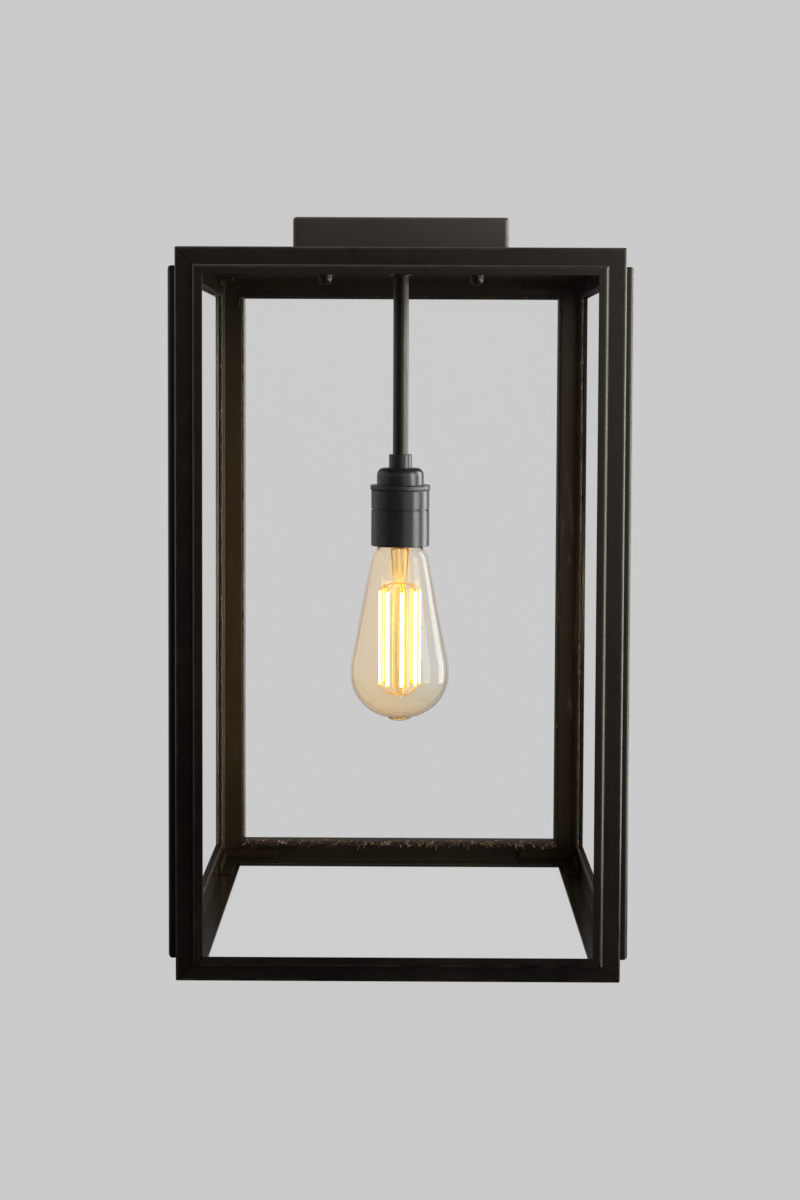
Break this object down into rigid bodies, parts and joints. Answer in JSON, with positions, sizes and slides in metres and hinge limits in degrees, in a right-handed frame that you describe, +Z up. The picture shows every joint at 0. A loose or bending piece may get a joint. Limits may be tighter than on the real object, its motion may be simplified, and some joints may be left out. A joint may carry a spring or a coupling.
{
  "type": "box lantern",
  "caption": "Square glazed box lantern in dark patinated brass for a porch ceiling, open at the bottom, with a screw-in filament lamp on a drop tube under a mounting box.",
  "frame": {"origin": "centre of the two ceiling screw slots, on the face that meets the ceiling", "axes": "+Z up, into the ceiling; -Y is the front in the picture, +X to its right; the lantern hangs below the origin"},
  "size_m": [0.2708, 0.2708, 0.451],
  "materials": {
    "patinated_brass": "dark bronze patina on brass, satin, brighter along the worn edges",
    "black_lampholder": "smooth satin black on brass",
    "clear_glass": "clear, flat",
    "bedding_compound": "brown glazing compound, rough",
    "zinc_steel": "zinc plated",
    "white_nylon": "moulded, off-white",
    "brown_sleeving": "smooth insulation",
    "blue_sleeving": "smooth insulation",
    "green_sleeving": "smooth insulation",
    "porcelain": "white glaze",
    "bright_brass": "bright, unlacquered",
    "lamp_cap_metal": "bright, rolled thread",
    "black_glaze": "black vitrite",
    "amber_glass": "amber tint, smooth",
    "glowing_filament": "lit, warm white",
    "bright_wire": "drawn wire"
  },
  "bodies": {
    "lantern": {"corner_post_front_left": "patinated_brass", "corner_post_front_right": "patinated_brass", "corner_post_back_right": "patinated_brass", "corner_post_back_left": "patinated_brass", "top_rail_front": "patinated_brass", "bottom_rail_front": "patinated_brass", "bead_frame_front": "patinated_brass", "glass_pane_front": "clear_glass", "bedding_front": "bedding_compound", "top_rail_right": "patinated_brass", "bottom_rail_right": "patinated_brass", "bead_frame_right": "patinated_brass", "glass_pane_right": "clear_glass", "bedding_right": "bedding_compound", "top_rail_back": "patinated_brass", "bottom_rail_back": "patinated_brass", "bead_frame_back": "patinated_brass", "glass_pane_back": "clear_glass", "bedding_back": "bedding_compound", "top_rail_left": "patinated_brass", "bottom_rail_left": "patinated_brass", "bead_frame_left": "patinated_brass", "glass_pane_left": "clear_glass", "bedding_left": "bedding_compound", "top_plate": "patinated_brass", "top_corner_gussets": "patinated_brass", "bottom_corner_gussets": "patinated_brass", "mounting_box": "patinated_brass", "drop_tube": "patinated_brass", "dome_nuts": "patinated_brass", "stud_washers": "patinated_brass", "tube_locknuts": "patinated_brass", "lampholder_cap": "black_lampholder", "lampholder_ring": "black_lampholder", "lampholder_body": "black_lampholder", "lampholder_skirt": "black_lampholder", "ceiling_strap": "zinc_steel", "strap_studs": "zinc_steel", "stud_locknuts": "zinc_steel", "terminal_screws": "zinc_steel", "earth_screw": "zinc_steel", "terminal_block": "white_nylon", "live_wire": "brown_sleeving", "neutral_wire": "blue_sleeving", "earth_wire": "green_sleeving", "lampholder_insert": "porcelain", "lampholder_sleeve": "bright_brass", "lampholder_contact": "bright_brass", "lampholder_terminals": "bright_brass"},
    "lamp_pip": {"lamp_contact": "lamp_cap_metal"},
    "lamp": {"lamp_cap": "lamp_cap_metal", "lamp_insulator": "black_glaze", "lamp_glass": "amber_glass", "lamp_stem": "clear_glass", "filaments": "glowing_filament", "filament_supports": "bright_wire"}
  },
  "joints": [
    {"name": "lamp_travel", "type": "slide", "parent": "lantern", "child": "lamp_pip", "axis": [0, 0, -1], "range_m": [0, 0.01452]},
    {"name": "lamp_turn", "type": "hinge", "parent": "lamp_pip", "child": "lamp", "pos_m": [0, 0, -0.2], "axis": [0, 0, -1], "range_deg": [0, 1440]}
  ],
  "couplings": [
    {"joint": "lamp_travel", "follows": "lamp_turn", "m_per_rad": 0.00057757}
  ]
}
